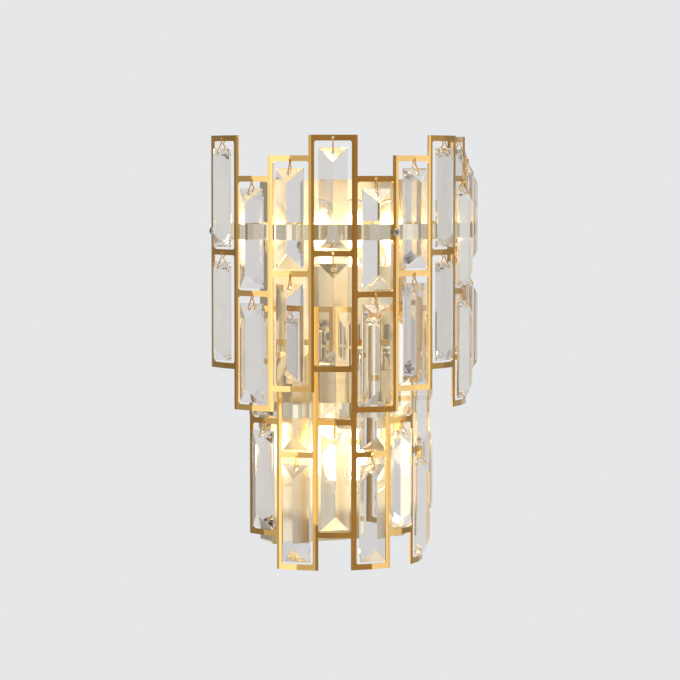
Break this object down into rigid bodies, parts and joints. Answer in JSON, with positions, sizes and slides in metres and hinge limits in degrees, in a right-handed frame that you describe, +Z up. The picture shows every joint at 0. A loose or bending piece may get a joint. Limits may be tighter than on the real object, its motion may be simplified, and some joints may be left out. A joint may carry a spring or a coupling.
{
  "type": "wall_sconce",
  "caption": "Half-round two-tier brass lattice wall sconce with hanging faceted crystal prisms and two lamps.",
  "frame": {"origin": "middle of the housing's wall side, on the wall", "axes": "+Z up, -Y out from the wall, +X to the viewer's right"},
  "size_m": [0.2256, 0.1228, 0.3365],
  "materials": {
    "polished_brass": "polished brass plate on sheet steel",
    "brass_wire": "bright brass wire and screws",
    "cut_crystal": "clear cut crystal, polished facets",
    "clear_glass": "thin clear lamp glass",
    "zinc_steel": "zinc plated steel",
    "nickel_plate": "nickel plate",
    "white_plastic": "white moulded thermoset",
    "black_rubber": "soft black rubber",
    "lamp_filament": "warm white coated rods on a glass stem"
  },
  "bodies": {
    "root": {"upper_lattice": "polished_brass", "upper_band": "polished_brass", "upper_hooks": "brass_wire", "lower_lattice": "polished_brass", "lower_band": "polished_brass", "lower_hooks": "brass_wire", "housing": "polished_brass", "wall_bracket": "zinc_steel", "case_screws": "brass_wire", "cable_grommet": "black_rubber", "terminal_block": "white_plastic", "band_screws": "brass_wire", "band_nuts": "brass_wire", "lamp_shelf": "polished_brass", "lamp_tube": "zinc_steel", "tube_nuts": "zinc_steel", "upper_lampholder": "white_plastic", "upper_screw_shell": "nickel_plate", "upper_bulb_cap": "nickel_plate", "upper_bulb_glass": "clear_glass", "upper_bulb_filament": "lamp_filament", "lower_lampholder": "white_plastic", "lower_screw_shell": "nickel_plate", "lower_bulb_cap": "nickel_plate", "lower_bulb_glass": "clear_glass", "lower_bulb_filament": "lamp_filament"},
    "upper_crystal_01_top": {"upper_crystal_01_top": "cut_crystal"},
    "upper_crystal_01_bottom": {"upper_crystal_01_bottom": "cut_crystal"},
    "upper_crystal_02_top": {"upper_crystal_02_top": "cut_crystal"},
    "upper_crystal_02_bottom": {"upper_crystal_02_bottom": "cut_crystal"},
    "upper_crystal_03_top": {"upper_crystal_03_top": "cut_crystal"},
    "upper_crystal_03_bottom": {"upper_crystal_03_bottom": "cut_crystal"},
    "upper_crystal_04_top": {"upper_crystal_04_top": "cut_crystal"},
    "upper_crystal_04_bottom": {"upper_crystal_04_bottom": "cut_crystal"},
    "upper_crystal_05_top": {"upper_crystal_05_top": "cut_crystal"},
    "upper_crystal_05_bottom": {"upper_crystal_05_bottom": "cut_crystal"},
    "upper_crystal_06_top": {"upper_crystal_06_top": "cut_crystal"},
    "upper_crystal_06_bottom": {"upper_crystal_06_bottom": "cut_crystal"},
    "upper_crystal_07_top": {"upper_crystal_07_top": "cut_crystal"},
    "upper_crystal_07_bottom": {"upper_crystal_07_bottom": "cut_crystal"},
    "upper_crystal_08_top": {"upper_crystal_08_top": "cut_crystal"},
    "upper_crystal_08_bottom": {"upper_crystal_08_bottom": "cut_crystal"},
    "upper_crystal_09_top": {"upper_crystal_09_top": "cut_crystal"},
    "upper_crystal_09_bottom": {"upper_crystal_09_bottom": "cut_crystal"},
    "upper_crystal_10_top": {"upper_crystal_10_top": "cut_crystal"},
    "upper_crystal_10_bottom": {"upper_crystal_10_bottom": "cut_crystal"},
    "lower_crystal_01_top": {"lower_crystal_01_top": "cut_crystal"},
    "lower_crystal_01_bottom": {"lower_crystal_01_bottom": "cut_crystal"},
    "lower_crystal_02_top": {"lower_crystal_02_top": "cut_crystal"},
    "lower_crystal_02_bottom": {"lower_crystal_02_bottom": "cut_crystal"},
    "lower_crystal_03_top": {"lower_crystal_03_top": "cut_crystal"},
    "lower_crystal_03_bottom": {"lower_crystal_03_bottom": "cut_crystal"},
    "lower_crystal_04_top": {"lower_crystal_04_top": "cut_crystal"},
    "lower_crystal_04_bottom": {"lower_crystal_04_bottom": "cut_crystal"},
    "lower_crystal_05_top": {"lower_crystal_05_top": "cut_crystal"},
    "lower_crystal_05_bottom": {"lower_crystal_05_bottom": "cut_crystal"},
    "lower_crystal_06_top": {"lower_crystal_06_top": "cut_crystal"},
    "lower_crystal_06_bottom": {"lower_crystal_06_bottom": "cut_crystal"},
    "lower_crystal_07_top": {"lower_crystal_07_top": "cut_crystal"},
    "lower_crystal_07_bottom": {"lower_crystal_07_bottom": "cut_crystal"}
  },
  "joints": [
    {"name": "upper_swing_01_top", "type": "hinge", "parent": "root", "child": "upper_crystal_01_top", "pos_m": [-0.10657, -0.02688, 0.1628], "axis": [-0.1564, 0.9877, 0], "range_deg": [0, 12]},
    {"name": "upper_swing_01_bottom", "type": "hinge", "parent": "root", "child": "upper_crystal_01_bottom", "pos_m": [-0.10657, -0.02688, 0.0753], "axis": [-0.1564, 0.9877, 0], "range_deg": [-5, 12]},
    {"name": "upper_swing_02_top", "type": "hinge", "parent": "root", "child": "upper_crystal_02_top", "pos_m": [-0.09614, -0.05899, 0.1318], "axis": [-0.454, 0.891, 0], "range_deg": [0, 12]},
    {"name": "upper_swing_02_bottom", "type": "hinge", "parent": "root", "child": "upper_crystal_02_bottom", "pos_m": [-0.09614, -0.05899, 0.0443], "axis": [-0.454, 0.891, 0], "range_deg": [-5, 12]},
    {"name": "upper_swing_03_top", "type": "hinge", "parent": "root", "child": "upper_crystal_03_top", "pos_m": [-0.0763, -0.0863, 0.1473], "axis": [-0.7071, 0.7071, 0], "range_deg": [0, 12]},
    {"name": "upper_swing_03_bottom", "type": "hinge", "parent": "root", "child": "upper_crystal_03_bottom", "pos_m": [-0.0763, -0.0863, 0.0598], "axis": [-0.7071, 0.7071, 0], "range_deg": [-5, 12]},
    {"name": "upper_swing_04_top", "type": "hinge", "parent": "root", "child": "upper_crystal_04_top", "pos_m": [-0.04899, -0.10614, 0.1628], "axis": [-0.891, 0.454, 0], "range_deg": [0, 12]},
    {"name": "upper_swing_04_bottom", "type": "hinge", "parent": "root", "child": "upper_crystal_04_bottom", "pos_m": [-0.04899, -0.10614, 0.0753], "axis": [-0.891, 0.454, 0], "range_deg": [-5, 12]},
    {"name": "upper_swing_05_top", "type": "hinge", "parent": "root", "child": "upper_crystal_05_top", "pos_m": [-0.01688, -0.11657, 0.1318], "axis": [-0.9877, 0.1564, 0], "range_deg": [0, 12]},
    {"name": "upper_swing_05_bottom", "type": "hinge", "parent": "root", "child": "upper_crystal_05_bottom", "pos_m": [-0.01688, -0.11657, 0.0443], "axis": [-0.9877, 0.1564, 0], "range_deg": [-5, 12]},
    {"name": "upper_swing_06_top", "type": "hinge", "parent": "root", "child": "upper_crystal_06_top", "pos_m": [0.01688, -0.11657, 0.1473], "axis": [-0.9877, -0.1564, 0], "range_deg": [0, 12]},
    {"name": "upper_swing_06_bottom", "type": "hinge", "parent": "root", "child": "upper_crystal_06_bottom", "pos_m": [0.01688, -0.11657, 0.0598], "axis": [-0.9877, -0.1564, 0], "range_deg": [-5, 12]},
    {"name": "upper_swing_07_top", "type": "hinge", "parent": "root", "child": "upper_crystal_07_top", "pos_m": [0.04899, -0.10614, 0.1628], "axis": [-0.891, -0.454, 0], "range_deg": [0, 12]},
    {"name": "upper_swing_07_bottom", "type": "hinge", "parent": "root", "child": "upper_crystal_07_bottom", "pos_m": [0.04899, -0.10614, 0.0753], "axis": [-0.891, -0.454, 0], "range_deg": [-5, 12]},
    {"name": "upper_swing_08_top", "type": "hinge", "parent": "root", "child": "upper_crystal_08_top", "pos_m": [0.0763, -0.0863, 0.1318], "axis": [-0.7071, -0.7071, 0], "range_deg": [0, 12]},
    {"name": "upper_swing_08_bottom", "type": "hinge", "parent": "root", "child": "upper_crystal_08_bottom", "pos_m": [0.0763, -0.0863, 0.0443], "axis": [-0.7071, -0.7071, 0], "range_deg": [-5, 12]},
    {"name": "upper_swing_09_top", "type": "hinge", "parent": "root", "child": "upper_crystal_09_top", "pos_m": [0.09614, -0.05899, 0.1473], "axis": [-0.454, -0.891, 0], "range_deg": [0, 12]},
    {"name": "upper_swing_09_bottom", "type": "hinge", "parent": "root", "child": "upper_crystal_09_bottom", "pos_m": [0.09614, -0.05899, 0.0598], "axis": [-0.454, -0.891, 0], "range_deg": [-5, 12]},
    {"name": "upper_swing_10_top", "type": "hinge", "parent": "root", "child": "upper_crystal_10_top", "pos_m": [0.10657, -0.02688, 0.1628], "axis": [-0.1564, -0.9877, 0], "range_deg": [0, 12]},
    {"name": "upper_swing_10_bottom", "type": "hinge", "parent": "root", "child": "upper_crystal_10_bottom", "pos_m": [0.10657, -0.02688, 0.0753], "axis": [-0.1564, -0.9877, 0], "range_deg": [-5, 12]},
    {"name": "lower_swing_01_top", "type": "hinge", "parent": "root", "child": "lower_crystal_01_top", "pos_m": [-0.07235, -0.02877, 0.0311], "axis": [-0.3584, 0.9336, 0], "range_deg": [0, 8]},
    {"name": "lower_swing_01_bottom", "type": "hinge", "parent": "root", "child": "lower_crystal_01_bottom", "pos_m": [-0.07235, -0.02877, -0.0564], "axis": [-0.3584, 0.9336, 0], "range_deg": [-5, 12]},
    {"name": "lower_swing_02_top", "type": "hinge", "parent": "root", "child": "lower_crystal_02_top", "pos_m": [-0.05575, -0.05484, 0.0057], "axis": [-0.6947, 0.7193, 0], "range_deg": [0, 8]},
    {"name": "lower_swing_02_bottom", "type": "hinge", "parent": "root", "child": "lower_crystal_02_bottom", "pos_m": [-0.05575, -0.05484, -0.0818], "axis": [-0.6947, 0.7193, 0], "range_deg": [-5, 12]},
    {"name": "lower_swing_03_top", "type": "hinge", "parent": "root", "child": "lower_crystal_03_top", "pos_m": [-0.03028, -0.07234, 0.0311], "axis": [-0.9205, 0.3907, 0], "range_deg": [0, 8]},
    {"name": "lower_swing_03_bottom", "type": "hinge", "parent": "root", "child": "lower_crystal_03_bottom", "pos_m": [-0.03028, -0.07234, -0.0564], "axis": [-0.9205, 0.3907, 0], "range_deg": [-5, 12]},
    {"name": "lower_swing_04_top", "type": "hinge", "parent": "root", "child": "lower_crystal_04_top", "pos_m": [0, -0.0785, 0.0057], "axis": [-1, 0, 0], "range_deg": [0, 8]},
    {"name": "lower_swing_04_bottom", "type": "hinge", "parent": "root", "child": "lower_crystal_04_bottom", "pos_m": [0, -0.0785, -0.0818], "axis": [-1, 0, 0], "range_deg": [-5, 12]},
    {"name": "lower_swing_05_top", "type": "hinge", "parent": "root", "child": "lower_crystal_05_top", "pos_m": [0.03028, -0.07234, 0.0311], "axis": [-0.9205, -0.3907, 0], "range_deg": [0, 8]},
    {"name": "lower_swing_05_bottom", "type": "hinge", "parent": "root", "child": "lower_crystal_05_bottom", "pos_m": [0.03028, -0.07234, -0.0564], "axis": [-0.9205, -0.3907, 0], "range_deg": [-5, 12]},
    {"name": "lower_swing_06_top", "type": "hinge", "parent": "root", "child": "lower_crystal_06_top", "pos_m": [0.05575, -0.05484, 0.0057], "axis": [-0.6947, -0.7193, 0], "range_deg": [0, 8]},
    {"name": "lower_swing_06_bottom", "type": "hinge", "parent": "root", "child": "lower_crystal_06_bottom", "pos_m": [0.05575, -0.05484, -0.0818], "axis": [-0.6947, -0.7193, 0], "range_deg": [-5, 12]},
    {"name": "lower_swing_07_top", "type": "hinge", "parent": "root", "child": "lower_crystal_07_top", "pos_m": [0.07235, -0.02877, 0.0311], "axis": [-0.3584, -0.9336, 0], "range_deg": [0, 8]},
    {"name": "lower_swing_07_bottom", "type": "hinge", "parent": "root", "child": "lower_crystal_07_bottom", "pos_m": [0.07235, -0.02877, -0.0564], "axis": [-0.3584, -0.9336, 0], "range_deg": [-5, 12]}
  ]
}
